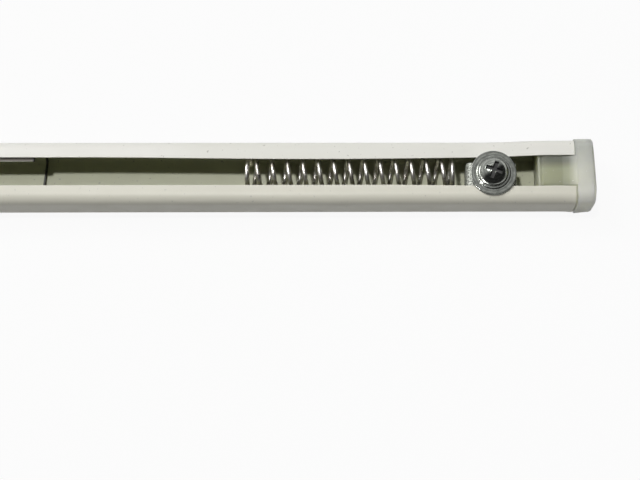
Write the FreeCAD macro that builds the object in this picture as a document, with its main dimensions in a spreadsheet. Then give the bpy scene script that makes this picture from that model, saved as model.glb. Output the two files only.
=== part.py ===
import FreeCAD, Part
import math
import os
import Sketcher

# A spring-loaded curtain rod: two flat-oval steel channels, slotted along the back, one sliding in
# the other. It lies on its flat front face with the slot up. The sleeve's end cap is at +X, the
# inner channel's at -X. Z is 0 under the sleeve's cap, X is 0 at the middle of the whole, and Y is 0
# at the middle of the channels.

SIZES = {
    # sheet steel channels
    "sleeve_length": 400.0,
    "sleeve_width": 20.0,
    "sleeve_depth": 13.5,
    "sleeve_slot": 8.9,
    "sheet_thickness": 0.6,
    "front_corner": 3.6,
    "back_corner": 3.0,
    "inner_reach": 68.5,
    "inner_slot": 7.0,
    "side_clearance": 0.5,
    "face_clearance": 0.3,
    # the sleeve is spread by its plug at one end, which sits over to +Y, and opens at its mouth
    "spread": 0.3,
    "cap_shift": 0.3,
    "spread_run": 17.0,
    "mouth_flare": 0.3,
    "mouth_run": 14.0,
    # end caps
    "cap_flange": 7.3,
    "cap_overhang": 0.7,
    "cap_side_overhang": 0.8,
    "cap_round": 1.5,
    "plug_length": 11.3,
    "plug_clearance": 0.05,
    "plug_chamfer": 1.1,
    "tongue_clearance": 0.3,
    # pressure spring
    "spring_wire": 1.4,
    "spring_clearance": 0.35,
    "spring_turns": 12.0,
    "spring_pitch": 4.735,
    "spring_near_pitch": 2.96,
    "spring_far_pitch": 3.18,
    "spring_end_angle": 35.0,
    "spring_shift": 1.0,
    "spring_gap": 3.41,
    "spring_travel": 63.23,
    # stop that slides along the slot, clamped on its lips
    "clamp_clearance": 0.05,
    "stop_gap": 5.6,
    "stop_shift": -0.9,
    "plate_length": 16.6,
    "plate_margin": 1.0,
    "plate_thickness": 1.2,
    "plate_bend": 1.6,
    "wing_length": 10.6,
    "tab_width": 7.4,
    "tab_floor_gap": 1.6,
    "collar_diameter": 6.2,
    "collar_height": 1.6,
    # clamp screw and its washers
    "screw_diameter": 4.0,
    "thread_clearance": 0.05,
    "screw_tip_gap": 2.7,
    "screw_tip_chamfer": 0.5,
    "head_diameter": 8.5,
    "head_height": 2.8,
    "head_round": 2.0,
    "cross_span": 6.4,
    "cross_arm": 1.4,
    "cross_depth": 1.7,
    "cross_turn": -20.0,
    "washer_hole": 4.4,
    "washer_round": 0.2,
    "lock_diameter": 9.1,
    "lock_thickness": 0.5,
    "lock_split": 0.9,
    "small_diameter": 10.6,
    "small_thickness": 0.5,
    "wide_diameter": 14.2,
    "wide_thickness": 0.7,
}

# Sizes that follow from the driving ones
AXIS_HEIGHT = "(Sizes.sleeve_depth / 2 + Sizes.cap_overhang)"
SLEEVE_END = "((Sizes.sleeve_length + Sizes.inner_reach) / 2)"
BACK_FACE = "(Sizes.sleeve_depth / 2)"
LIP_UNDERSIDE = "(Sizes.sleeve_depth / 2 - Sizes.sheet_thickness)"
INNER_WIDTH = "(Sizes.sleeve_width - 2 * Sizes.sheet_thickness - 2 * Sizes.side_clearance)"
INNER_DEPTH = "(Sizes.sleeve_depth - 2 * Sizes.sheet_thickness - 2 * Sizes.face_clearance)"
INNER_FRONT_CORNER = "(Sizes.front_corner - Sizes.sheet_thickness)"
INNER_BACK_CORNER = "(Sizes.back_corner - Sizes.sheet_thickness)"
STOP_INSET = "(Sizes.plug_length + Sizes.stop_gap + Sizes.plate_length / 2)"
SPRING_INSET = f"({STOP_INSET} + Sizes.plate_length / 2 + Sizes.spring_gap)"
SPRING_SPAN = (
    "(Sizes.spring_turns * Sizes.spring_pitch + Sizes.spring_near_pitch + Sizes.spring_far_pitch)"
)
SPRING_LENGTH = f"({SPRING_SPAN} + Sizes.spring_wire)"
INNER_INSET = f"({SPRING_INSET} + {SPRING_LENGTH} + Sizes.spring_travel)"
ROD_LENGTH = "(Sizes.sleeve_length + Sizes.inner_reach)"
INNER_LENGTH = f"({ROD_LENGTH} - {INNER_INSET})"
WASHER_SEAT = f"({BACK_FACE} + Sizes.clamp_clearance)"
SMALL_SEAT = f"({WASHER_SEAT} + Sizes.wide_thickness)"
LOCK_SEAT = f"({SMALL_SEAT} + Sizes.small_thickness)"
HEAD_SEAT = f"({LOCK_SEAT} + Sizes.lock_thickness)"
SCREW_LENGTH = f"({HEAD_SEAT} + {LIP_UNDERSIDE} - Sizes.screw_tip_gap)"

doc = FreeCAD.newDocument("CurtainRod")
sheet = doc.addObject("Spreadsheet::Sheet", "Sizes")
for row, (alias, number) in enumerate(SIZES.items(), start=1):
    sheet.set(f"A{row}", alias)
    sheet.set(f"B{row}", str(number))
    sheet.setAlias(f"B{row}", alias)
doc.recompute()

parts = []


def value(expression):
    """The number that an expression gives with the sheet as it is."""
    return float(sheet.evalExpression(expression))


def place(part, inset, shift="0", lift="0"):
    """Puts a part at a distance from the sleeve's cap end, measured from the rod's own axis."""
    part.setExpression("Placement.Base.x", f"{SLEEVE_END} - {inset}")
    part.setExpression("Placement.Base.y", shift)
    part.setExpression("Placement.Base.z", f"{AXIS_HEIGHT} + {lift}")
    parts.append(part)


def new_body(label, inset="0", shift="0", lift="0"):
    body = doc.addObject("PartDesign::Body", label)
    body.Label = label
    place(body, inset, shift, lift)
    return body


def new_sketch(body, name, plane, offset="0"):
    """A sketch on one of the body's origin planes, moved along the plane's normal."""
    sketch = body.newObject("Sketcher::SketchObject", f"{body.Name}_{name}")
    planes = [feature for feature in body.Origin.OriginFeatures if feature.Role == plane]
    sketch.AttachmentSupport = [(planes[0], "")]
    sketch.MapMode = "FlatFace"
    sketch.setExpression("AttachmentOffset.Base.z", offset)
    return sketch


def constrain(sketch, expression, *terms):
    """One dimension of a sketch, bound to an expression."""
    index = sketch.addConstraint(Sketcher.Constraint(*terms, value(expression)))
    sketch.setExpression(f"Constraints[{index}]", expression)


def join(sketch, corner, before, after, came, heading, leaving):
    """Rounds the corner between two lines with an arc, or joins them at a point."""
    radius = value(corner[2])
    if radius == 0:
        sketch.addConstraint(Sketcher.Constraint("Coincident", before, 2, after, 1))
        return
    centre = came + leaving * radius
    left = centre + heading * radius
    turns_left = heading.cross(leaving).z > 0
    ends = (came, left) if turns_left else (left, came)
    angles = [math.atan2(end.y - centre.y, end.x - centre.x) for end in ends]
    circle = Part.Circle(centre, FreeCAD.Vector(0, 0, 1), radius)
    arc = sketch.addGeometry(Part.ArcOfCircle(circle, *angles))
    near, far = (1, 2) if turns_left else (2, 1)
    sketch.addConstraint(Sketcher.Constraint("Tangent", before, 2, arc, near))
    sketch.addConstraint(Sketcher.Constraint("Tangent", arc, far, after, 1))
    constrain(sketch, corner[2], "Radius", arc)


def square_outline(sketch, corners):
    """A closed outline of level and upright lines. Each corner is x, y and its radius."""
    points = [FreeCAD.Vector(value(x), value(y), 0) for x, y, _ in corners]
    lines = []
    for i, (x, y, radius) in enumerate(corners):
        following = (i + 1) % len(corners)
        along = (points[following] - points[i]).normalize()
        start = points[i] + along * value(radius)
        end = points[following] - along * value(corners[following][2])
        line = sketch.addGeometry(Part.LineSegment(start, end))
        if abs(along.x) > abs(along.y):
            sketch.addConstraint(Sketcher.Constraint("Horizontal", line))
            constrain(sketch, y, "DistanceY", line, 1)
        else:
            sketch.addConstraint(Sketcher.Constraint("Vertical", line))
            constrain(sketch, x, "DistanceX", line, 1)
        lines.append((line, end, along))
    for i, corner in enumerate(corners):
        before, came, heading = lines[i - 1]
        after, _, leaving = lines[i]
        join(sketch, corner, before, after, came, heading, leaving)


def round_outline(sketch, radius, x="0", y="0"):
    centre = FreeCAD.Vector(value(x), value(y), 0)
    circle = sketch.addGeometry(Part.Circle(centre, FreeCAD.Vector(0, 0, 1), value(radius)))
    constrain(sketch, x, "DistanceX", circle, 3)
    constrain(sketch, y, "DistanceY", circle, 3)
    constrain(sketch, radius, "Radius", circle)


def pad(body, name, sketch, length, middle=False, reverse=False):
    feature = body.newObject("PartDesign::Pad", f"{body.Name}_{name}")
    feature.Profile = sketch
    feature.Midplane = middle
    feature.Reversed = reverse
    feature.setExpression("Length", length)
    doc.recompute()
    return feature


def pocket(body, name, sketch, depth=None):
    """Cuts a sketch out, down to a depth or right through, and makes sure that it cuts."""
    before = body.Shape.Volume
    feature = body.newObject("PartDesign::Pocket", f"{body.Name}_{name}")
    feature.Profile = sketch
    if depth is None:
        feature.Type = "ThroughAll"
        feature.Midplane = True
    else:
        feature.setExpression("Length", depth)
    doc.recompute()
    if body.Shape.Volume > before - 1e-6:
        raise RuntimeError(f"{name} cuts nothing from {body.Label}")
    return feature


def turn(body, name, sketch):
    """A turned solid, about the sketch's own upright axis."""
    feature = body.newObject("PartDesign::Revolution", f"{body.Name}_{name}")
    feature.Profile = sketch
    feature.ReferenceAxis = (sketch, ["V_Axis"])
    feature.Angle = 360
    doc.recompute()
    return feature


def ease(body, name, kind, size, chosen):
    """A Fillet or Chamfer on the edges of the body that chosen() accepts."""
    base = body.Tip
    edges = enumerate(base.Shape.Edges, start=1)
    names = [f"Edge{number}" for number, edge in edges if chosen(edge)]
    if not names:
        raise RuntimeError(f"{name} finds no edge on {body.Label}")
    feature = body.newObject(f"PartDesign::{kind}", f"{body.Name}_{name}")
    feature.Base = (base, names)
    feature.setExpression("Size" if kind == "Chamfer" else "Radius", size)
    doc.recompute()
    return feature


def lies_at(edge, axis, place_along):
    """Whether an edge lies wholly at one place along an axis, 0 for X, 1 for Y or 2 for Z."""
    box = edge.BoundBox
    low = (box.XMin, box.YMin, box.ZMin)[axis]
    high = (box.XMax, box.YMax, box.ZMax)[axis]
    return abs(low - place_along) < 1e-3 and abs(high - place_along) < 1e-3


# Channels

def channel_section(body, name, station, width, depth, slot, front, back, shift="0"):
    """The section of a slotted channel: the outer skin, then back along the inner one."""
    side, face, lip = f"({width} / 2)", f"({depth} / 2)", f"({slot} / 2)"
    wall, under = f"({side} - Sizes.sheet_thickness)", f"({face} - Sizes.sheet_thickness)"
    tight_front = f"({front} - Sizes.sheet_thickness)"
    tight_back = f"({back} - Sizes.sheet_thickness)"
    left_side, right_side = f"({shift} - {side})", f"({shift} + {side})"
    left_wall, right_wall = f"({shift} - {wall})", f"({shift} + {wall})"
    left_lip, right_lip = f"({shift} - {lip})", f"({shift} + {lip})"
    sketch = new_sketch(body, name, "YZ_Plane", station)
    square_outline(sketch, [
        (right_lip, face, "0"),
        (right_side, face, back),
        (right_side, f"-{face}", front),
        (left_side, f"-{face}", front),
        (left_side, face, back),
        (left_lip, face, "0"),
        (left_lip, under, "0"),
        (left_wall, under, tight_back),
        (left_wall, f"-{under}", tight_front),
        (right_wall, f"-{under}", tight_front),
        (right_wall, under, tight_back),
        (right_lip, under, "0"),
    ])
    return sketch


def make_sleeve():
    """The outer channel, with stations from its cap end to its mouth."""
    body = new_body("sleeve_channel")
    stations = [
        ("cap_end", "0", "Sizes.spread", "Sizes.cap_shift"),
        ("plug_end", "-Sizes.plug_length", "Sizes.spread", "Sizes.cap_shift"),
        ("spread_start", "-(Sizes.plug_length + Sizes.spread_run)", "0", "0"),
        ("flare_start", "-(Sizes.sleeve_length - Sizes.mouth_run)", "0", "0"),
        ("mouth", "-Sizes.sleeve_length", "Sizes.mouth_flare", "0"),
    ]
    sections = []
    for name, station, widening, shift in stations:
        width = f"(Sizes.sleeve_width + 2 * {widening})"
        slot = f"(Sizes.sleeve_slot + 2 * {widening})"
        sections.append(channel_section(
            body, name, station, width, "Sizes.sleeve_depth", slot,
            "Sizes.front_corner", "Sizes.back_corner", shift,
        ))
    doc.recompute()
    loft = body.newObject("PartDesign::AdditiveLoft", "sleeve_loft")
    loft.Profile = sections[0]
    loft.Sections = sections[1:]
    loft.Ruled = True
    doc.recompute()


def make_inner():
    """The inner channel, from its end inside the sleeve out to its cap."""
    body = new_body("inner_channel", INNER_INSET)
    section = channel_section(
        body, "section", "0", INNER_WIDTH, INNER_DEPTH, "Sizes.inner_slot",
        INNER_FRONT_CORNER, INNER_BACK_CORNER,
    )
    pad(body, "run", section, INNER_LENGTH, reverse=True)


# End caps

def block_section(body, name, width, depth, front, back):
    side, face = f"({width} / 2)", f"({depth} / 2)"
    sketch = new_sketch(body, name, "YZ_Plane")
    square_outline(sketch, [
        (side, face, back),
        (side, f"-{face}", front),
        (f"-{side}", f"-{face}", front),
        (f"-{side}", face, back),
    ])
    return sketch


def slot_tongue(body, plug_face, flange_face, width):
    """Fills the slot beside the flange, with a hollow sweep from the plug up to the flange."""
    rise = f"({flange_face} - {plug_face})"
    sketch = new_sketch(body, "tongue_outline", "XZ_Plane")
    square_outline(sketch, [
        ("0", plug_face, "0"),
        ("0", flange_face, "0"),
        (f"-{rise}", flange_face, "0"),
        (f"-{rise}", plug_face, "0"),
    ])
    pad(body, "tongue", sketch, width, middle=True)
    bore = new_sketch(body, "sweep_outline", "XZ_Plane")
    round_outline(bore, rise, f"-{rise}", flange_face)
    pocket(body, "sweep", bore)


def make_cap(label, inset, shift, width, depth, slot, widening, front, back):
    """A cap: a flange that butts on the channel's end, and a plug inside the channel."""
    body = new_body(label, inset, shift)
    wide = f"({width} + 2 * Sizes.cap_side_overhang)"
    deep = f"({depth} + 2 * Sizes.cap_overhang)"
    flange = block_section(
        body, "flange_outline", wide, deep,
        f"({front} + Sizes.cap_overhang)", f"({back} + Sizes.cap_overhang)",
    )
    pad(body, "flange", flange, "Sizes.cap_flange")
    outer_face = value("Sizes.cap_flange")
    ease(body, "flange_round", "Fillet", "Sizes.cap_round", lambda e: lies_at(e, 0, outer_face))
    hollow = "2 * (Sizes.sheet_thickness + Sizes.plug_clearance)"
    plug_wide = f"({width} + 2 * {widening} - {hollow})"
    plug_deep = f"({depth} - {hollow})"
    plug = block_section(
        body, "plug_outline", plug_wide, plug_deep,
        f"({front} - Sizes.sheet_thickness)", f"({back} - Sizes.sheet_thickness)",
    )
    pad(body, "plug", plug, "Sizes.plug_length", reverse=True)
    plug_end = -value("Sizes.plug_length")
    ease(body, "plug_lead", "Chamfer", "Sizes.plug_chamfer", lambda e: lies_at(e, 0, plug_end))
    tongue = f"({slot} + 2 * {widening} - 2 * Sizes.tongue_clearance)"
    slot_tongue(body, f"({plug_deep} / 2)", f"({deep} / 2)", tongue)
    return body


def make_caps():
    make_cap(
        "sleeve_end_cap", "0", "Sizes.cap_shift", "Sizes.sleeve_width", "Sizes.sleeve_depth",
        "Sizes.sleeve_slot", "Sizes.spread", "Sizes.front_corner", "Sizes.back_corner",
    )
    far_cap = make_cap(
        "inner_end_cap", ROD_LENGTH, "0", INNER_WIDTH, INNER_DEPTH,
        "Sizes.inner_slot", "0", INNER_FRONT_CORNER, INNER_BACK_CORNER,
    )
    far_cap.Placement.Rotation = FreeCAD.Rotation(FreeCAD.Vector(0, 0, 1), 180)


# Spring

def half_turn(start, end, side):
    """A half circle that stands upright on a line between two points, above or below it."""
    middle = (start + end) / 2
    radius = (end - start).Length / 2
    return Part.Arc(start, middle + FreeCAD.Vector(0, 0, side * radius), end)


def spring_path(radius):
    """The middle of the wire, as half circles that meet in line, with a flat strand at each end."""
    pitch = value("Sizes.spring_pitch")
    turns = int(value("Sizes.spring_turns"))
    # where each strand over the top starts and ends along the spring
    strands = [(0, 0)]
    for i in range(turns + 1):
        middle = value("Sizes.spring_far_pitch") + i * pitch
        strands.append((middle - pitch / 4, middle + pitch / 4))
    last = value(SPRING_SPAN)
    strands.append((last, last))

    tail = math.radians(value("Sizes.spring_end_angle"))
    tail_y, tail_z = radius * math.cos(tail), -radius * math.sin(tail)
    top = FreeCAD.Vector(0, 0, radius)
    path = [Part.Arc(
        FreeCAD.Vector(0, tail_y, tail_z), top, FreeCAD.Vector(0, -radius, 0)
    ).toShape()]
    for (_, here), (start, end) in zip(strands, strands[1:-1]):
        low_start = FreeCAD.Vector(here, -radius, 0)
        high_start = FreeCAD.Vector(start, radius, 0)
        high_end = FreeCAD.Vector(end, -radius, 0)
        path.append(half_turn(low_start, high_start, -1).toShape())
        path.append(half_turn(high_start, high_end, 1).toShape())
    low_start = FreeCAD.Vector(strands[-2][1], -radius, 0)
    high_start = FreeCAD.Vector(last, radius, 0)
    path.append(half_turn(low_start, high_start, -1).toShape())
    path.append(Part.Arc(
        high_start, top + FreeCAD.Vector(last, 0, 0), FreeCAD.Vector(last, -tail_y, tail_z)
    ).toShape())
    return Part.Wire(path)


def make_spring():
    """The pressure spring at rest. Its +X end is at its own origin."""
    wire_radius = value("Sizes.spring_wire / 2")
    outer_radius = value(f"{LIP_UNDERSIDE} - Sizes.spring_clearance")
    length = value(SPRING_LENGTH)
    path = spring_path(outer_radius - wire_radius)
    path.translate(FreeCAD.Vector(wire_radius - length, 0, 0))
    start = path.OrderedEdges[0]
    profile = Part.Wire(Part.makeCircle(
        wire_radius, start.valueAt(start.FirstParameter), start.tangentAt(start.FirstParameter)
    ))
    coil = path.makePipeShell([profile], True, True)
    swept = math.pi * wire_radius ** 2 * path.Length
    if abs(coil.Volume / swept - 1) > 0.01:
        raise RuntimeError("the spring's volume isn't its section times its length")
    spring = doc.addObject("Part::Feature", "pressure_spring")
    spring.Label = "pressure_spring"
    spring.Shape = coil
    place(spring, SPRING_INSET, "Sizes.spring_shift")


# Stop: a plate under the lips, clamped by a screw with three washers on top of them

def make_stop_plate():
    body = new_body("stop_plate", STOP_INSET, "Sizes.stop_shift")
    top = f"({LIP_UNDERSIDE} - Sizes.clamp_clearance)"
    under = f"({top} - Sizes.plate_thickness)"
    end, inside = "(Sizes.plate_length / 2)", "(Sizes.plate_length / 2 - Sizes.plate_thickness)"
    foot = f"(Sizes.tab_floor_gap - {LIP_UNDERSIDE})"
    tight_bend = "(Sizes.plate_bend - Sizes.plate_thickness)"
    strip = new_sketch(body, "strip_outline", "XZ_Plane")
    square_outline(strip, [
        (f"-{end}", foot, "0"),
        (f"-{end}", top, "Sizes.plate_bend"),
        (end, top, "Sizes.plate_bend"),
        (end, foot, "0"),
        (inside, foot, "0"),
        (inside, under, tight_bend),
        (f"-{inside}", under, tight_bend),
        (f"-{inside}", foot, "0"),
    ])
    pad(body, "strip", strip, "Sizes.tab_width", middle=True)
    wings = new_sketch(body, "wings_outline", "XY_Plane", under)
    wing_end = "(Sizes.wing_length / 2)"
    wing_side = "(Sizes.sleeve_width / 2 - Sizes.back_corner - Sizes.plate_margin)"
    square_outline(wings, [
        (wing_end, wing_side, "0"),
        (wing_end, f"-{wing_side}", "0"),
        (f"-{wing_end}", f"-{wing_side}", "0"),
        (f"-{wing_end}", wing_side, "0"),
    ])
    pad(body, "wings", wings, "Sizes.plate_thickness")
    collar = new_sketch(body, "collar_outline", "XY_Plane", under)
    round_outline(collar, "Sizes.collar_diameter / 2")
    pad(body, "collar", collar, "Sizes.collar_height", reverse=True)
    hole = new_sketch(body, "hole_outline", "XY_Plane", top)
    round_outline(hole, "Sizes.screw_diameter / 2")
    pocket(body, "tapped_hole", hole)


def make_washer(label, seat, diameter, thickness):
    body = new_body(label, STOP_INSET, "Sizes.stop_shift", seat)
    section = new_sketch(body, "section", "XZ_Plane")
    square_outline(section, [
        ("(Sizes.washer_hole / 2)", "0", "0"),
        (f"({diameter} / 2)", "0", "0"),
        (f"({diameter} / 2)", thickness, "Sizes.washer_round"),
        ("(Sizes.washer_hole / 2)", thickness, "0"),
    ])
    turn(body, "ring", section)
    return body


def make_washers():
    make_washer("wide_washer", WASHER_SEAT, "Sizes.wide_diameter", "Sizes.wide_thickness")
    make_washer("small_washer", SMALL_SEAT, "Sizes.small_diameter", "Sizes.small_thickness")
    lock = make_washer("lock_washer", LOCK_SEAT, "Sizes.lock_diameter", "Sizes.lock_thickness")
    split = new_sketch(lock, "split_outline", "XY_Plane", "Sizes.lock_thickness")
    edge = "(Sizes.lock_split / 2)"
    square_outline(split, [
        (edge, "0", "0"),
        (edge, "Sizes.lock_diameter", "0"),
        (f"-{edge}", "Sizes.lock_diameter", "0"),
        (f"-{edge}", "0", "0"),
    ])
    pocket(lock, "split", split, "Sizes.lock_thickness")


def make_screw():
    """The clamp screw, with a pan head and a cross recess."""
    body = new_body("clamp_screw", STOP_INSET, "Sizes.stop_shift", HEAD_SEAT)
    shank = "(Sizes.screw_diameter / 2 - Sizes.thread_clearance)"
    head = "(Sizes.head_diameter / 2)"
    outline = new_sketch(body, "outline", "XZ_Plane")
    square_outline(outline, [
        ("0", f"-{SCREW_LENGTH}", "0"),
        (shank, f"-{SCREW_LENGTH}", "0"),
        (shank, "0", "0"),
        (head, "0", "0"),
        (head, "Sizes.head_height", "Sizes.head_round"),
        ("0", "Sizes.head_height", "0"),
    ])
    turn(body, "blank", outline)
    tip = -value(SCREW_LENGTH)
    ease(body, "tip", "Chamfer", "Sizes.screw_tip_chamfer", lambda e: lies_at(e, 2, tip))
    recess = new_sketch(body, "recess_outline", "XY_Plane", "Sizes.head_height")
    long, short = "(Sizes.cross_span / 2)", "(Sizes.cross_arm / 2)"
    square_outline(recess, [
        (long, short, "0"),
        (long, f"-{short}", "0"),
        (short, f"-{short}", "0"),
        (short, f"-{long}", "0"),
        (f"-{short}", f"-{long}", "0"),
        (f"-{short}", f"-{short}", "0"),
        (f"-{long}", f"-{short}", "0"),
        (f"-{long}", short, "0"),
        (f"-{short}", short, "0"),
        (f"-{short}", long, "0"),
        (short, long, "0"),
        (short, short, "0"),
    ])
    pocket(body, "recess", recess, "Sizes.cross_depth")
    body.Placement.Rotation = FreeCAD.Rotation(FreeCAD.Vector(0, 0, 1), value("Sizes.cross_turn"))


make_sleeve()
make_inner()
make_caps()
make_spring()
make_stop_plate()
make_washers()
make_screw()
doc.recompute()

for thing in doc.Objects:
    if "Invalid" in thing.State or "Error" in thing.State:
        raise RuntimeError(f"{thing.Label} is {thing.State}")
os.makedirs("parts", exist_ok=True)
for part in parts:
    shape = part.Shape
    if shape.isNull() or not shape.isValid():
        raise RuntimeError(f"{part.Label} has a bad shape")
    shape.exportStep(f"parts/{part.Label}.step")
    box = shape.BoundBox
    print(part.Label, len(shape.Solids), round(shape.Volume, 1), box)
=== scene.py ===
import bmesh
import bpy
import math
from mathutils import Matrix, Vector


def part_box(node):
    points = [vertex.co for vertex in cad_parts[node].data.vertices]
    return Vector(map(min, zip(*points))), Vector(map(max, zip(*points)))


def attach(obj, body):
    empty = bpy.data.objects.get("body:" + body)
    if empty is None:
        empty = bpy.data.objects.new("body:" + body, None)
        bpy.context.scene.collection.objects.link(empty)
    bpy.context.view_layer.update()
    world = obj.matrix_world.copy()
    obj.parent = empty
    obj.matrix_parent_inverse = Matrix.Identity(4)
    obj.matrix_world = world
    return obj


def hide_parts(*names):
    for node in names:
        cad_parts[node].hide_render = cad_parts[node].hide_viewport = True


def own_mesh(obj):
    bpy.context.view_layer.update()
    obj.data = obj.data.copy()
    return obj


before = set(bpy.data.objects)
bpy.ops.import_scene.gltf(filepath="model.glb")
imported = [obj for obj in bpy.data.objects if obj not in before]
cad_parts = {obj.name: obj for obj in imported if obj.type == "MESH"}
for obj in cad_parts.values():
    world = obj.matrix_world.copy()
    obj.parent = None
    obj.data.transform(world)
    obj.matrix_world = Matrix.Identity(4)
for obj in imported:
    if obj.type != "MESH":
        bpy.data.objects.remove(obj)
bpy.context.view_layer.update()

# A spring-loaded curtain rod, seen from its slotted back at the sleeve's cap end. Each piece is
# modelled in millimetres, stands for the solid of its own name, and is scaled to metres at the end.

MILLIMETRE = 0.001
IN_MILLIMETRES = 1000
# places nearer than this count as the same, in millimetres
SAME_PLACE = 0.001
# a surface that turns by less than this, in degrees, is shaded smooth
SMOOTH_ANGLE = 32
# how many flat sides stand for a turned round
TURNED_SIDES = 96

# Sheet and channels
SHEET_THICKNESS = 0.6
SLEEVE_WIDTH = 20.0
SLEEVE_SLOT = 8.9
SLEEVE_FRONT_CORNER = 3.6
SLEEVE_BACK_CORNER = 3.0
INNER_SLOT = 7.0
INNER_FRONT_CORNER = 3.0
INNER_BACK_CORNER = 2.4
# how far the inner channel's open end is set back at its +Y side, and how much further at -Y
INNER_SETBACK = 0.4
INNER_SLANT = 0.87
RIM_ROUND = 0.11
# how far the sleeve's +Y side and its -Y side stand out, by the distance from its end: over the
# plug at one end, and at the mouth of the other
PLUG_SPREAD = (
    (0.0, 0.62, 0.22),
    (2.0, 0.62, 0.05),
    (4.0, 0.62, 0.0),
    (9.0, 0.60, 0.0),
    (13.0, 0.50, 0.0),
    (17.0, 0.34, 0.0),
    (21.0, 0.18, 0.0),
    (25.0, 0.06, 0.0),
    (29.0, 0.0, 0.0),
)
MOUTH_FLARE = (
    (0.0, 0.30, 0.30),
    (3.0, 0.19, 0.19),
    (6.0, 0.10, 0.10),
    (10.0, 0.03, 0.03),
    (14.0, 0.0, 0.0),
)
# where the free edge of each lip bows towards -Y: its side, how far, the bow's middle and its reach
SLEEVE_LIP_BOWS = (
    (1, 0.62, 155.0, 76.0),
    (-1, 0.42, 218.0, 44.0),
)
INNER_LIP_BOWS = (
    (-1, 0.72, 70.0, 45.0),
)
LIP_BOW_STATIONS = 20
# how far out from the slot a lip's free edge is looked for
LIP_EDGE_ROOM = 0.8
CHANNEL_CORNER_STEPS = 12

# Caps
FLANGE = 7.3
FLANGE_CORNER_STEPS = 10
FLANGE_ROUND = 0.8
FLANGE_DRAFT = 0.1
FLANGE_CROWN = 1.1
FLANGE_BACK_EDGE = 0.25
FLANGE_TAPER = 0.55
# the crowned end in rings: the size of each as a share of the last, and its share of the rise
CROWN_STEPS = (
    (0.94, 0.117),
    (0.90, 0.168),
    (0.84, 0.211),
    (0.76, 0.213),
    (0.60, 0.187),
    (0.30, 0.104),
)
FLANGE_SKEW = 0.35
# how far the flange stands off the channel's end at its -Y side, where it isn't pushed home
FLANGE_GAP = 0.5
CAP_OVERHANG = 0.7
PLUG_ROOT = 1.5
PLUG_SEAT = 0.65
PLUG_CORNER_STEPS = 8
SLEEVE_PLUG_WIDTH = 19.2
SLEEVE_TONGUE_WIDTH = 9.3
SLEEVE_TONGUE_SHIFT = -0.22
INNER_PLUG_WIDTH = 16.5
INNER_TONGUE_WIDTH = 6.4
LEAD_LENGTH = 1.25
LEAD_STEP = 0.3
LEAD_ROUND = 0.35
LEAD_FOOT_ROUND = 0.08
GROOVE_START = 0.6
GROOVE_WIDTH = 0.35
GROOVE_DEPTH = 0.25
TONGUE_LENGTH = 4.6
TONGUE_RAMP_START = 1.4
# how far the tongue reaches into the flange and into the plug, and lies under the flange's top
TONGUE_ROOT = 2.5
TONGUE_SINK = 0.3
TONGUE_DROP = 0.05
# how far the ramp's toe dips into the plug, and the rounding at the ramp's foot and at its top
TONGUE_TOE = 0.02
TONGUE_FOOT_ROUND = 1.35
TONGUE_TOP_ROUND = 1.2

# Spring
WIRE = 1.4
WIRE_SIDES = 14
WIRE_END_ROUND = 0.12
# how many steps make one turn
SPRING_STEPS = 28
SPRING_TURNS = 12
SPRING_PITCH = 4.735
SPRING_END_ANGLE = 35.0
SPRING_FIRST_PITCH = 3.18
SPRING_LAST_PITCH = 2.96

# Stop
PLATE_THICKNESS = 1.2
PLATE_BEND = 1.6
PLATE_BEND_STEPS = 8
PLATE_ROUND = 0.14
TAB_WIDTH = 7.4
WING_LENGTH = 10.6
FAR_TAB_INSET = 1.0
COLLAR_RADIUS = 3.1
COLLAR_HEIGHT = 1.6
COLLAR_ROUND = 0.2
# how far the collar reaches into the plate, and its bore stands off the thread
COLLAR_SINK = 0.05
COLLAR_ROOM = 0.05
# how near a ring's outer rim its edges are looked for
RIM_BAND = 0.06
WASHER_HOLE = 2.2
# each washer's rounding, the width of the slope at its rim, and how far that drops
WASHERS = (
    ("wide_washer", 0.25, 0.0, 0.0),
    ("small_washer", 0.12, 0.35, 0.1),
    ("lock_washer", 0.1, 0.3, 0.07),
)
SPLIT_WIDTH = 0.9
HEAD_RADIUS = 4.25
HEAD_HEIGHT = 2.8
HEAD_SLOPE = 56.0
HEAD_STEPS = 14
HEAD_SEAT_ROUND = 0.12
# the last step of the dome stops short of its middle, at this share of the way
DOME_SHARE = 0.96
CROSS_REACH = 3.3
CROSS_WIDTH = 1.5
CROSS_DEPTH = 1.7
CROSS_TURN = -20.0
# the size of an arm's floor, as a share of its top, and the cone's radius at its tip and its top
CROSS_TAPER = (0.72, 0.8, 1)
CROSS_CONE_TIP = 0.45
CROSS_CONE_TOP = 1.25
# how far the cutter stands above the head
CUTTER_RISE = 0.5
RECESS_ROUND = 0.08
# how far below the dome the recess's painted shade begins, and how far round it the painted shade
# is looked for
RECESS_RIM = 0.1
RECESS_ROOM = 0.3
SHANK_SIDES = 32
SHANK_CHAMFER = 0.5
SHANK_SINK = 0.1
THREAD_PITCH = 0.7
THREAD_DEPTH = 0.38
THREAD_RADIUS = 1.95
THREAD_STEPS = 24
THREAD_SINK = 0.03
# how wide the thread's crest and its foot are, as shares of its pitch
THREAD_CREST = 0.15
THREAD_FOOT = 0.92


def solid_box(node):
    """The lowest and highest corners of one of the model's solids, in millimetres."""
    low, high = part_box(node)
    return low * IN_MILLIMETRES, high * IN_MILLIMETRES


# Modelling


def start_piece(name, add_primitive, **placing):
    """Adds the primitive that a piece is shaped from, and opens it for editing."""
    bpy.ops.object.select_all(action="DESELECT")
    add_primitive(**placing)
    piece = bpy.context.object
    piece.name = name
    piece.data.name = name
    bpy.ops.object.transform_apply(location=True, rotation=True, scale=True)
    bpy.ops.object.mode_set(mode="EDIT")
    return piece


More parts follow.
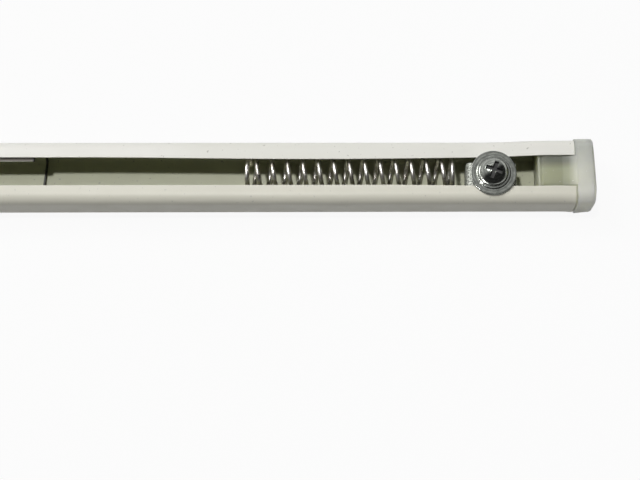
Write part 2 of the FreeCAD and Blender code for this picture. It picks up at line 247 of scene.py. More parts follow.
def start_block(name, low, high):
    """A block between two corners, open for editing."""
    middle = [(a + b) / 2 for a, b in zip(low, high)]
    size = [b - a for a, b in zip(low, high)]
    return start_piece(name, bpy.ops.mesh.primitive_cube_add, size=1, location=middle, scale=size)


def choose(kind, wanted):
    """Selects only the vertices, edges or faces that wanted() accepts."""
    bpy.ops.mesh.select_mode(type=kind)
    bpy.ops.mesh.select_all(action="DESELECT")
    mesh = bmesh.from_edit_mesh(bpy.context.edit_object.data)
    items = {"VERT": mesh.verts, "EDGE": mesh.edges, "FACE": mesh.faces}[kind]
    found = [item for item in items if wanted(item)]
    if not found:
        raise RuntimeError(f"nothing is selected on {bpy.context.edit_object.name}")
    for item in found:
        item.select_set(True)
    mesh.select_flush_mode()
    bmesh.update_edit_mesh(bpy.context.edit_object.data)


def middle_of(edge):
    """The middle of an edge."""
    return (edge.verts[0].co + edge.verts[1].co) / 2


def is_end(face):
    """Whether a face is the flat end of a rounded block, which has the most corners."""
    return len(face.verts) > 8


def runs_along(edge, axis):
    """Whether an edge lies along an axis, 0 for X, 1 for Y or 2 for Z."""
    step = edge.verts[1].co - edge.verts[0].co
    return abs(step[axis]) > 0.999 * step.length


def both_at(edge, axis, place):
    """Whether an edge lies wholly at one place along an axis."""
    return all(abs(corner.co[axis] - place) < SAME_PLACE for corner in edge.verts)


def cut_across(axis, place):
    """Cuts the whole mesh with a plane square to an axis."""
    bpy.ops.mesh.select_all(action="SELECT")
    through = [0.0, 0.0, 0.0]
    square_to = [0.0, 0.0, 0.0]
    through[axis] = place
    square_to[axis] = 1.0
    bpy.ops.mesh.bisect(plane_co=through, plane_no=square_to)


def draw_out(x, y, z):
    """Extrudes what is chosen, by a step along each axis."""
    bpy.ops.mesh.extrude_region_move(TRANSFORM_OT_translate={"value": (x, y, z)})


def round_chosen(width, segments):
    """Rounds the chosen edges."""
    bpy.ops.mesh.bevel(offset=width, segments=segments, profile=0.5, affect="EDGES")


def round_section(low, high, front_corner, back_corner, segments):
    """Rounds a block's edges along X, by one radius at its front and another at its back."""
    for place, corner in ((low, front_corner), (high, back_corner)):
        choose("EDGE", lambda e: runs_along(e, 0) and both_at(e, 2, place))
        round_chosen(corner, segments)


def end_part(part):
    """Leaves editing with the part smooth, and its faces pointing out."""
    bpy.ops.mesh.select_all(action="SELECT")
    bpy.ops.mesh.normals_make_consistent(inside=False)
    bpy.ops.object.mode_set(mode="OBJECT")
    bpy.ops.object.shade_smooth_by_angle(angle=math.radians(SMOOTH_ANGLE))
    return part


def end_piece(piece):
    """Ends a whole piece: it goes from millimetres to metres, and its flats are shaded flat."""
    end_part(piece)
    piece.scale = (MILLIMETRE, MILLIMETRE, MILLIMETRE)
    bpy.ops.object.transform_apply(location=True, rotation=True, scale=True)
    use_modifier(piece, "WEIGHTED_NORMAL", keep_sharp=True)
    return piece


def use_modifier(piece, kind, **settings):
    """Adds a modifier with its settings, and applies it."""
    modifier = piece.modifiers.new(kind.title(), kind)
    for setting, number in settings.items():
        setattr(modifier, setting, number)
    bpy.ops.object.modifier_apply(modifier=modifier.name)


def round_sharp_edges(piece, width, segments, angle):
    """Rounds every edge that turns by more than an angle. The piece is left open for editing."""
    bpy.ops.object.mode_set(mode="OBJECT")
    use_modifier(
        piece, "BEVEL", width=width, segments=segments, limit_method="ANGLE",
        angle_limit=math.radians(angle), harden_normals=False,
    )
    bpy.ops.object.mode_set(mode="EDIT")


def add_to(piece, other):
    """Makes another finished mesh part of the piece, and opens the whole for editing."""
    bpy.ops.object.select_all(action="DESELECT")
    other.select_set(True)
    piece.select_set(True)
    bpy.context.view_layer.objects.active = piece
    bpy.ops.object.join()
    bpy.ops.object.mode_set(mode="EDIT")


def hand_over(piece, body, node, material=None):
    """Puts a finished piece on its body, in place of its solid, with its finish."""
    if material:
        piece.data.materials.append(material)
    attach(piece, body)
    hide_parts(node)


# Channels


def widen(end, outward, stations):
    """Moves each side of a channel out, station by station, from one of its ends inward."""
    for distance, _, _ in stations[1:]:
        cut_across(0, end - outward * distance)
    for distance, left, right in stations:
        place = end - outward * distance
        for side, step in ((1, left), (-1, right)):
            if step == 0:
                continue
            choose("VERT", lambda v: abs(v.co.x - place) < SAME_PLACE and v.co.y * side > 0.5)
            bpy.ops.transform.translate(value=(0, side * step, 0))


def bow_lips(bows, slot, end, top):
    """Shifts the free edges of the lips towards -Y, each most at the middle of its bow."""
    start = min(middle - reach for _, _, middle, reach in bows)
    step = (end - start) / LIP_BOW_STATIONS
    for i in range(1, LIP_BOW_STATIONS):
        cut_across(0, start + i * step)

    def on_lip_edge(vertex):
        """Whether a corner of the mesh is on the free edge of a lip."""
        near = abs(vertex.co.y) < slot / 2 + LIP_EDGE_ROOM
        return vertex.is_boundary and abs(vertex.co.z - top) < SAME_PLACE and near

    for side, shift, middle, reach in bows:
        mesh = bmesh.from_edit_mesh(bpy.context.edit_object.data)
        lip = [v.co.x for v in mesh.verts if on_lip_edge(v) and v.co.y * side > 0]
        for place in sorted({round(x, 3) for x in lip}):
            if abs(place - middle) >= reach:
                continue
            share = (1 + math.cos(math.pi * (place - middle) / reach)) / 2
            choose("VERT", lambda v: on_lip_edge(v) and abs(v.co.x - place) < 2 * SAME_PLACE
                   and v.co.y * side > 0)
            bpy.ops.transform.translate(value=(0, -shift * share, 0))


def slant_end(place, side):
    """Sets the inner channel's open end back, further at its -Y side than at its +Y side."""
    choose("VERT", lambda v: abs(v.co.x - place) < SAME_PLACE)
    bpy.ops.transform.translate(value=(-INNER_SETBACK, 0, 0))
    lean = math.atan(INNER_SLANT / (2 * side))
    corner = (place - INNER_SETBACK, side, 0)
    bpy.ops.transform.rotate(value=lean, orient_axis="Z", center_override=corner)


def roll_channel(name, node, width, slot, front_corner, back_corner, coats, spreads=(),
                 bows=(), slanted=False):
    """A channel folded from sheet: a long box, open at both ends and along its back.

    The first coat is on its outside and its rims, and the second on its inside.
    """
    low, high = solid_box(node)
    piece = start_block(name, (low.x, -width / 2, low.z), (high.x, width / 2, high.z))
    choose("FACE", lambda f: abs(f.normal.x) > 0.9)
    bpy.ops.mesh.delete(type="ONLY_FACE")
    round_section(low.z, high.z, front_corner, back_corner, CHANNEL_CORNER_STEPS)
    for side in (-1, 1):
        cut_across(1, side * slot / 2)
    choose("FACE", lambda f: abs(f.calc_center_median().y) < slot / 2 and f.normal.z > 0.9)
    bpy.ops.mesh.delete(type="FACE")
    for end, outward, stations in spreads:
        widen(end, outward, stations)
    if slanted:
        slant_end(high.x, width / 2)
    if bows:
        bow_lips(bows, slot, high.x, high.z)
    bpy.ops.mesh.select_all(action="SELECT")
    bpy.ops.mesh.normals_make_consistent(inside=False)
    bpy.ops.object.mode_set(mode="OBJECT")
    for coat in coats:
        piece.data.materials.append(coat)
    use_modifier(
        piece, "SOLIDIFY", thickness=SHEET_THICKNESS, offset=-1, use_even_offset=True,
        use_quality_normals=True, material_offset=1,
    )
    round_sharp_edges(piece, RIM_ROUND, segments=3, angle=60)
    return end_piece(piece)


# Caps


def lean_end(face, low, high, side):
    """Leans a flat end inward at the back and at its +Y side, and narrows it at -Y."""
    choose("VERT", lambda v: abs(v.co.x - face) < SAME_PLACE)
    share = 1 - FLANGE_TAPER / (2 * side)
    bpy.ops.transform.resize(value=(1, share, 1), center_override=(face, side, 0))
    lean = math.atan(FLANGE_DRAFT / (high - low))
    bpy.ops.transform.rotate(value=lean, orient_axis="Y", center_override=(face, 0, low))
    skew = math.atan(FLANGE_SKEW / (2 * side))
    bpy.ops.transform.rotate(value=-skew, orient_axis="Z", center_override=(face, -side, 0))


def lean_back(side, gap):
    """Leans the flange's back edge off the channel at -Y, about its +Y edge."""
    choose("VERT", lambda v: v.co.x < FLANGE_BACK_EDGE + SAME_PLACE)
    lean = math.atan(gap / (2 * side))
    corner = (FLANGE_BACK_EDGE, side, 0)
    bpy.ops.transform.rotate(value=-lean, orient_axis="Z", center_override=corner)


def shape_flange(width, low, high, front_corner, back_corner, gap):
    """The flange, at X 0 to its outer face, with a crowned end."""
    face = FLANGE - FLANGE_CROWN
    piece = start_block("flange", (0, -width / 2, low), (face, width / 2, high))
    round_section(low, high, front_corner, back_corner, FLANGE_CORNER_STEPS)
    choose("EDGE", lambda e: both_at(e, 0, 0))
    round_chosen(FLANGE_BACK_EDGE, 3)
    lean_back(width / 2, gap)
    lean_end(face, low, high, width / 2)
    choose("EDGE", lambda e: middle_of(e).x > face / 2 and any(is_end(f) for f in e.link_faces))
    round_chosen(FLANGE_ROUND, 8)
    choose("FACE", lambda f: f.normal.x > 0.9 and is_end(f))
    middle = (0, 0, (low + high) / 2)
    for share, rise in CROWN_STEPS:
        draw_out(rise * FLANGE_CROWN, 0, 0)
        bpy.ops.transform.resize(value=(1, share, share), center_override=middle)
    return piece


def shape_plug(width, length, low, high, front_corner, back_corner):
    """The plug behind the flange, with a stepped lead at its end and a groove round that."""
    face = -length + LEAD_LENGTH
    piece = start_block("plug", (face, -width / 2, low), (PLUG_ROOT, width / 2, high))
    round_section(low, high, front_corner, back_corner, PLUG_CORNER_STEPS)
    choose("FACE", lambda f: f.normal.x < -0.99)
    bpy.ops.mesh.inset(thickness=LEAD_STEP)
    draw_out(-LEAD_LENGTH, 0, 0)
    choose("EDGE", lambda e: both_at(e, 0, -length))
    round_chosen(LEAD_ROUND, 3)
    choose("EDGE", lambda e: both_at(e, 0, face))
    round_chosen(LEAD_FOOT_ROUND, 2)
    groove = GROOVE_START - length
    groove_end = groove + GROOVE_WIDTH
    for place in (groove, groove_end):
        cut_across(0, place)
    choose("FACE", lambda f: groove < f.calc_center_median().x < groove_end
           and abs(f.normal.x) < 0.1)
    bpy.ops.mesh.extrude_region_shrink_fatten(TRANSFORM_OT_shrink_fatten={"value": -GROOVE_DEPTH})
    return piece


def shape_tongue(width, shift, low, high):
    """Fills the slot beside the flange, with a smooth ramp up from the plug."""
    near, far = shift - width / 2, shift + width / 2
    foot = TONGUE_RAMP_START - TONGUE_LENGTH
    piece = start_block(
        "tongue", (-TONGUE_LENGTH, near, low - TONGUE_SINK), (TONGUE_ROOT, far, high)
    )
    cut_across(0, foot)
    cut_across(0, 0)
    choose("VERT", lambda v: v.co.x < foot + SAME_PLACE and v.co.z > low)
    bpy.ops.transform.translate(value=(0, 0, low - TONGUE_TOE - high))
    for place, bend in ((foot, TONGUE_FOOT_ROUND), (0, TONGUE_TOP_ROUND)):
        choose("EDGE", lambda e: both_at(e, 0, place) and runs_along(e, 1)
               and middle_of(e).z > low - TONGUE_SINK / 2)
        round_chosen(bend, 6)
    return piece


def mould_cap(name, flange_width, plug_width, tongue_width, low, high, front_corner, back_corner,
              length, tongue_shift=0.0, gap=0.0):
    """A cap as it is moulded, with its flange at X 0 and above and its plug below."""
    plug_low = low + CAP_OVERHANG + PLUG_SEAT
    plug_high = high - CAP_OVERHANG - PLUG_SEAT
    tongue = end_part(shape_tongue(tongue_width, tongue_shift, plug_high, high - TONGUE_DROP))
    plug = end_part(shape_plug(
        plug_width, length, plug_low, plug_high,
        front_corner - SHEET_THICKNESS, back_corner - SHEET_THICKNESS,
    ))
    flange = end_part(shape_flange(
        flange_width, low, high, front_corner + CAP_OVERHANG, back_corner + CAP_OVERHANG, gap
    ))
    flange.name = name
    flange.data.name = name
    use_boolean(flange, plug, "UNION")
    use_boolean(flange, tongue, "UNION")
    bpy.ops.object.mode_set(mode="EDIT")
    return flange


def make_caps(plastic):
    """Both caps, each in the end of its own channel."""
    low, high = solid_box("sleeve_end_cap")
    sleeve_end = high.x - FLANGE
    piece = mould_cap(
        "sleeve_end_cap_piece", high.y - low.y, SLEEVE_PLUG_WIDTH, SLEEVE_TONGUE_WIDTH,
        low.z, high.z, SLEEVE_FRONT_CORNER, SLEEVE_BACK_CORNER, sleeve_end - low.x,
        SLEEVE_TONGUE_SHIFT, FLANGE_GAP,
    )
    bpy.ops.mesh.select_all(action="SELECT")
    bpy.ops.transform.translate(value=(sleeve_end, (low.y + high.y) / 2, 0))
    hand_over(end_piece(piece), "sleeve", "sleeve_end_cap", plastic)

    low, high = solid_box("inner_end_cap")
    inner_end = low.x + FLANGE
    piece = mould_cap(
        "inner_end_cap_piece", high.y - low.y, INNER_PLUG_WIDTH, INNER_TONGUE_WIDTH,
        low.z, high.z, INNER_FRONT_CORNER, INNER_BACK_CORNER, high.x - inner_end,
    )
    bpy.ops.mesh.select_all(action="SELECT")
    bpy.ops.transform.rotate(value=math.pi, orient_axis="Z", center_override=(0, 0, 0))
    bpy.ops.transform.translate(value=(inner_end, 0, 0))
    hand_over(end_piece(piece), "inner", "inner_end_cap", plastic)


# Spring


def coil_place(turn, start, end):
    """How far along the rod the wire is, a number of turns after the first pass over the top."""
    first = start + SPRING_FIRST_PITCH
    last = end - SPRING_LAST_PITCH
    knots = (
        (-1.0, start),
        (0.25, start),
        (0.75, first - SPRING_PITCH / 4),
        (SPRING_TURNS + 1.25, last + SPRING_PITCH / 4),
        (SPRING_TURNS + 1.75, end),
        (SPRING_TURNS + 3.0, end),
    )
    for (here, place), (there, next_place) in zip(knots, knots[1:]):
        if here <= turn <= there:
            return place + (next_place - place) * (turn - here) / (there - here)
    raise RuntimeError("the turn is off the spring")


def wind_spring():
    """A round wire wound by turning and shifting its section, a step at a time."""
    low, high = solid_box("pressure_spring")
    centre_y = (low.y + high.y) / 2
    channel_low, channel_high = solid_box("sleeve_channel")
    centre_z = (channel_low.z + channel_high.z) / 2
    radius = (high.y - low.y - WIRE) / 2
    start, end = low.x + WIRE / 2, high.x - WIRE / 2
    past_side = 0.25 + SPRING_END_ANGLE / 360
    first_turn, last_turn = -past_side, SPRING_TURNS + 2 + past_side
    steps = round((last_turn - first_turn) * SPRING_STEPS)
    step = (last_turn - first_turn) / steps
    axis = (0, centre_y, centre_z)
    piece = start_piece(
        "pressure_spring_piece", bpy.ops.mesh.primitive_circle_add, vertices=WIRE_SIDES,
        radius=WIRE / 2, location=(start, centre_y + radius, centre_z),
    )
    bpy.ops.mesh.select_mode(type="EDGE")
    bpy.ops.mesh.select_all(action="SELECT")
    opening = 2 * math.pi * (first_turn + 0.25)
    bpy.ops.transform.rotate(value=-opening, orient_axis="X", center_override=axis)
    turn, place = first_turn, start
    for _ in range(steps):
        turn += step
        next_place = coil_place(turn, start, end)
        draw_out(next_place - place, 0, 0)
        bpy.ops.transform.rotate(
            value=-2 * math.pi * step, orient_axis="X", center_override=axis
        )
        place = next_place
    choose("EDGE", lambda e: e.is_boundary)
    bpy.ops.mesh.fill_holes(sides=WIRE_SIDES)
    round_sharp_edges(piece, WIRE_END_ROUND, segments=2, angle=60)
    return end_piece(piece)


# Stop plate, washers and screw


def bend_plate():
    """A cross-shaped plate, with a tab bent down at each end and a threaded collar."""
    low, high = solid_box("stop_plate")
    centre = (low + high) / 2
    reach = (high.x - low.x) / 2
    tab_side = TAB_WIDTH / 2
    straight = reach - PLATE_BEND
    piece = start_piece(
        "stop_plate_piece", bpy.ops.mesh.primitive_plane_add, size=1,
        location=(centre.x, centre.y, high.z),
    )
    bpy.ops.transform.resize(
        value=(2 * straight, TAB_WIDTH, 1), center_override=(centre.x, centre.y, high.z)
    )
    for side in (-1, 1):
        cut_across(0, centre.x + side * WING_LENGTH / 2)
    bend_centre = high.z - PLATE_BEND
    choose("VERT", lambda v: v.co.x > centre.x + WING_LENGTH / 2 + SAME_PLACE)
    bpy.ops.transform.translate(value=(-FAR_TAB_INSET, 0, 0))
    for side, inset in ((-1, 0), (1, FAR_TAB_INSET)):
        edge_place = centre.x + side * (straight - inset)
        choose("EDGE", lambda e: both_at(e, 0, edge_place))
        bpy.ops.mesh.spin(
            steps=PLATE_BEND_STEPS, angle=-side * math.pi / 2,
            center=(edge_place, 0, bend_centre), axis=(0, 1, 0),
        )
        outer = centre.x + side * (reach - inset)
        choose("EDGE", lambda e: both_at(e, 0, outer))
        draw_out(0, 0, low.z - bend_centre)
    for side in (-1, 1):
        edge_y = centre.y + side * tab_side
        choose("EDGE", lambda e: both_at(e, 1, edge_y)
               and abs(middle_of(e).x - centre.x) < WING_LENGTH / 2)
        draw_out(0, side * ((high.y - low.y) / 2 - tab_side), 0)
    bpy.ops.mesh.select_all(action="SELECT")
    bpy.ops.mesh.remove_doubles(threshold=SAME_PLACE)
    bpy.ops.mesh.normals_make_consistent(inside=False)
    flats = [f for f in bmesh.from_edit_mesh(piece.data).faces if abs(f.normal.z) > 0.9]
    if flats[0].normal.z < 0:
        bpy.ops.mesh.flip_normals()
    bpy.ops.object.mode_set(mode="OBJECT")
    use_modifier(
        piece, "SOLIDIFY", thickness=PLATE_THICKNESS, offset=-1, use_even_offset=True,
        use_quality_normals=True,
    )
    round_sharp_edges(piece, PLATE_ROUND, segments=3, angle=50)
    end_part(piece)
    underside = high.z - PLATE_THICKNESS
    collar = end_part(turn_ring(
        "collar", centre.x, centre.y, underside - COLLAR_HEIGHT, underside + COLLAR_SINK,
        COLLAR_RADIUS, THREAD_RADIUS + COLLAR_ROOM, COLLAR_ROUND,
    ))
    add_to(piece, collar)
    return end_piece(piece)


def turn_ring(name, x, y, low, high, outer, inner, edge, slope=0.0, drop=0.0):
    """A bored ring, rounded at its outer rims. It is left open for editing.

    Where a slope is given, its top drops towards the rim over that width.
    """
    piece = start_piece(
        name, bpy.ops.mesh.primitive_circle_add, vertices=TURNED_SIDES, radius=outer,
        fill_type="NGON", location=(x, y, low),
    )
    bpy.ops.mesh.select_all(action="SELECT")
    if slope:
        bpy.ops.mesh.inset(thickness=slope)
    bpy.ops.mesh.inset(thickness=outer - slope - inner)
    bpy.ops.mesh.delete(type="FACE")
    bpy.ops.mesh.select_all(action="SELECT")
    draw_out(0, 0, high - low)
    bpy.ops.mesh.select_all(action="SELECT")
    bpy.ops.mesh.normals_make_consistent(inside=False)
    near_rim = outer - RIM_BAND
    if drop:
        choose("VERT", lambda v: abs(v.co.z - high) < SAME_PLACE
               and math.dist(v.co.xy, (x, y)) > near_rim)
        bpy.ops.transform.translate(value=(0, 0, -drop))
    choose("EDGE", lambda e: (both_at(e, 2, high - drop) or both_at(e, 2, low))
           and math.dist(middle_of(e).xy, (x, y)) > near_rim)
    round_chosen(edge, 4)
    return piece


def make_washers(zinc):
    """The washers between the lips and the screw's head. The lock washer is split."""
    for node, edge, slope, drop in WASHERS:
        low, high = solid_box(node)
        centre = (low + high) / 2
        outer = (high.x - low.x) / 2
        piece = turn_ring(
            f"{node}_piece", centre.x, centre.y, low.z, high.z, outer, WASHER_HOLE, edge,
            slope, drop,
        )
        if node == "lock_washer":
            for side in (-1, 1):
                cut_across(0, centre.x + side * SPLIT_WIDTH / 2)
            choose("FACE", lambda f: abs(f.calc_center_median().x - centre.x) < SPLIT_WIDTH / 2
                   and f.calc_center_median().y > centre.y)
            bpy.ops.mesh.delete(type="FACE")
            choose("EDGE", lambda e: e.is_boundary)
            bpy.ops.mesh.fill_holes(sides=0)
        hand_over(end_piece(piece), "stop", node, zinc)


def cross_cutter(x, y, top):
    """The shape that the driver's recess is cut with: two tapered arms and a middle cone."""
    arms = None
    for turn in (0, 90):
        piece = start_block(
            "cross_arm", (-CROSS_REACH, -CROSS_WIDTH / 2, top - CROSS_DEPTH),
            (CROSS_REACH, CROSS_WIDTH / 2, top + CUTTER_RISE),
        )
        choose("VERT", lambda v: v.co.z < top - CROSS_DEPTH / 2)
        bpy.ops.transform.resize(value=CROSS_TAPER, center_override=(0, 0, top))
        bpy.ops.mesh.select_all(action="SELECT")
        angle = math.radians(turn + CROSS_TURN)
        bpy.ops.transform.rotate(value=-angle, orient_axis="Z", center_override=(0, 0, 0))
        bpy.ops.transform.translate(value=(x, y, 0))
        end_part(piece)
        if arms is None:
            arms = piece
        else:
            use_boolean(arms, piece, "UNION")
    cone = start_piece(
        "cross_cone", bpy.ops.mesh.primitive_cone_add, vertices=24, radius1=CROSS_CONE_TIP,
        radius2=CROSS_CONE_TOP, depth=CROSS_DEPTH + CUTTER_RISE,
        location=(x, y, top - CROSS_DEPTH / 2 + CUTTER_RISE / 2),
    )
    end_part(cone)
    use_boolean(arms, cone, "UNION")
    return arms


def use_boolean(piece, other, operation):
    """Joins another solid to the piece, or cuts it out, and throws the other away."""
    bpy.ops.object.select_all(action="DESELECT")
    piece.select_set(True)
    bpy.context.view_layer.objects.active = piece
    use_modifier(piece, "BOOLEAN", object=other, operation=operation, solver="EXACT")
    bpy.data.objects.remove(other)


def cut_thread(x, y, low, high):
    """The threaded shank: a ridge that climbs round its core."""
    turns = int((high - low) / THREAD_PITCH) - 1
    root = THREAD_RADIUS - THREAD_DEPTH
    core = start_piece(
        "shank", bpy.ops.mesh.primitive_cylinder_add, vertices=SHANK_SIDES,
        radius=root + THREAD_SINK, depth=high - low, location=(x, y, (low + high) / 2),
    )
    choose("EDGE", lambda e: both_at(e, 2, low))
    round_chosen(SHANK_CHAMFER, 2)
    end_part(core)
    outer = root + THREAD_DEPTH / 2
    ridge = start_piece(
        "thread", bpy.ops.mesh.primitive_plane_add, size=1, rotation=(math.pi / 2, 0, 0),
        location=(outer, 0, 0),
    )
    bpy.ops.transform.resize(
        value=(THREAD_DEPTH, 1, THREAD_PITCH), center_override=(outer, 0, 0)
    )
    choose("VERT", lambda v: v.co.x > outer)
    bpy.ops.transform.resize(value=(1, 1, THREAD_CREST), center_override=(0, 0, 0))
    choose("VERT", lambda v: v.co.x < outer)
    bpy.ops.transform.resize(value=(1, 1, THREAD_FOOT), center_override=(0, 0, 0))
    bpy.ops.object.mode_set(mode="OBJECT")
    use_modifier(
        ridge, "SCREW", axis="Z", angle=2 * math.pi, screw_offset=THREAD_PITCH, iterations=turns,
        steps=THREAD_STEPS, render_steps=THREAD_STEPS, use_merge_vertices=False,
        use_smooth_shade=True,
    )
    bpy.ops.object.mode_set(mode="EDIT")
    bpy.ops.mesh.select_all(action="SELECT")
    bpy.ops.transform.translate(value=(x, y, low + THREAD_PITCH))
    end_part(ridge)
    add_to(core, ridge)
    bpy.ops.object.mode_set(mode="OBJECT")
    return core


def make_screw(zinc, recess_shade):
    """The clamp screw, with a domed head, a driver's recess and a threaded shank."""
    low, high = solid_box("clamp_screw")
    seat = high.z - HEAD_HEIGHT
    washer_low, washer_high = solid_box("wide_washer")
    centre = (washer_low + washer_high) / 2
    slope = math.radians(HEAD_SLOPE)
    ball = HEAD_RADIUS / math.sin(slope)
    dome_low = high.z - ball * (1 - math.cos(slope))
    head = start_piece(
        "clamp_screw_piece", bpy.ops.mesh.primitive_cylinder_add, vertices=TURNED_SIDES,
        radius=HEAD_RADIUS, depth=dome_low - seat,
        location=(centre.x, centre.y, (seat + dome_low) / 2),
    )
    choose("FACE", lambda f: f.normal.z > 0.99)
    for i in range(HEAD_STEPS):
        here = slope * (1 - i / HEAD_STEPS)
        above = slope * (1 - (i + 1) / HEAD_STEPS)
        step = ball * (math.sin(here) - math.sin(above))
        bpy.ops.mesh.inset(thickness=min(step, DOME_SHARE * ball * math.sin(here)))
        bpy.ops.transform.translate(value=(0, 0, ball * (math.cos(above) - math.cos(here))))
    choose("EDGE", lambda e: both_at(e, 2, seat))
    round_chosen(HEAD_SEAT_ROUND, 3)
    end_part(head)
    use_boolean(head, cross_cutter(centre.x, centre.y, high.z), "DIFFERENCE")
    for finish in (zinc, recess_shade):
        head.data.materials.append(finish)
    round_sharp_edges(head, RECESS_ROUND, segments=2, angle=45)

    def in_recess(face):
        """Whether a face lies inside the head, below the dome that the recess is cut in."""
        middle = face.calc_center_median()
        out = math.dist(middle.xy, centre.xy)
        if out > CROSS_REACH + RECESS_ROOM or middle.z < seat + RECESS_ROOM:
            return False
        return middle.z < high.z - ball + math.sqrt(ball ** 2 - out ** 2) - RECESS_RIM

    # painted shade: the faces inside the recess get the near-black finish
    choose("FACE", in_recess)
    head.active_material_index = 1
    bpy.ops.object.material_slot_assign()
    bpy.ops.object.mode_set(mode="OBJECT")
    shank = cut_thread(centre.x, centre.y, low.z, seat + SHANK_SINK)
    add_to(head, shank)
    hand_over(end_piece(head), "screw", "clamp_screw")


# Finishes

# All places here are in metres. The inner channel's painted shade, where it lies inside the sleeve,
# begins at a place along X and a
#  way out from the rod's middle, and fades in over a stretch from each.
INSIDE_SHADE_START = -0.03
INSIDE_SHADE_START_FADE = 0.01
INSIDE_SHADE_SIDE = 0.00355
INSIDE_SHADE_SIDE_FADE = 0.0001
# how wide the dark band at the inner channel's end is, partly its raw cut edge and partly painted
# shadow, and the share of it that is fully dark
DARK_END_BAND = 0.00065
DARK_END_BAND_FULL = 0.7
# the enamel is darkened with painted shade past this at -Y, and keeps its own colour past it at +Y
SHADE_SIDE_BLEND = 0.006
# how far from the rod's middle one tint of a cap starts to give way to the next, and has done; the
# lead's and the plug's tints are painted shade for the channel around them
LEAD_TINT_START = 0.2231
LEAD_TINT_END = 0.2236
PLUG_TINT_END = 0.2322
FLANGE_TINT_START = 0.2352
# where along Y the plug's painted shade starts and is full, and where the flange's pale side,
# painted light, ends and its grey side, painted shade, starts
PLUG_SHADE_START = 0.0008
PLUG_SHADE_FULL = 0.0032
PALE_SIDE_END = -0.010
GREY_SIDE_START = 0.007
# LEAD_TINT, PLUG_TINT and PLUG_SHADE are painted shade: the plug is darkened inside the channel,
# most under the +Y lip
LEAD_TINT = (0.52, 0.53, 0.38)
PLUG_TINT = (0.365, 0.38, 0.245)
PLUG_SHADE = (0.19, 0.20, 0.145)
RING_SPACING = 0.0009


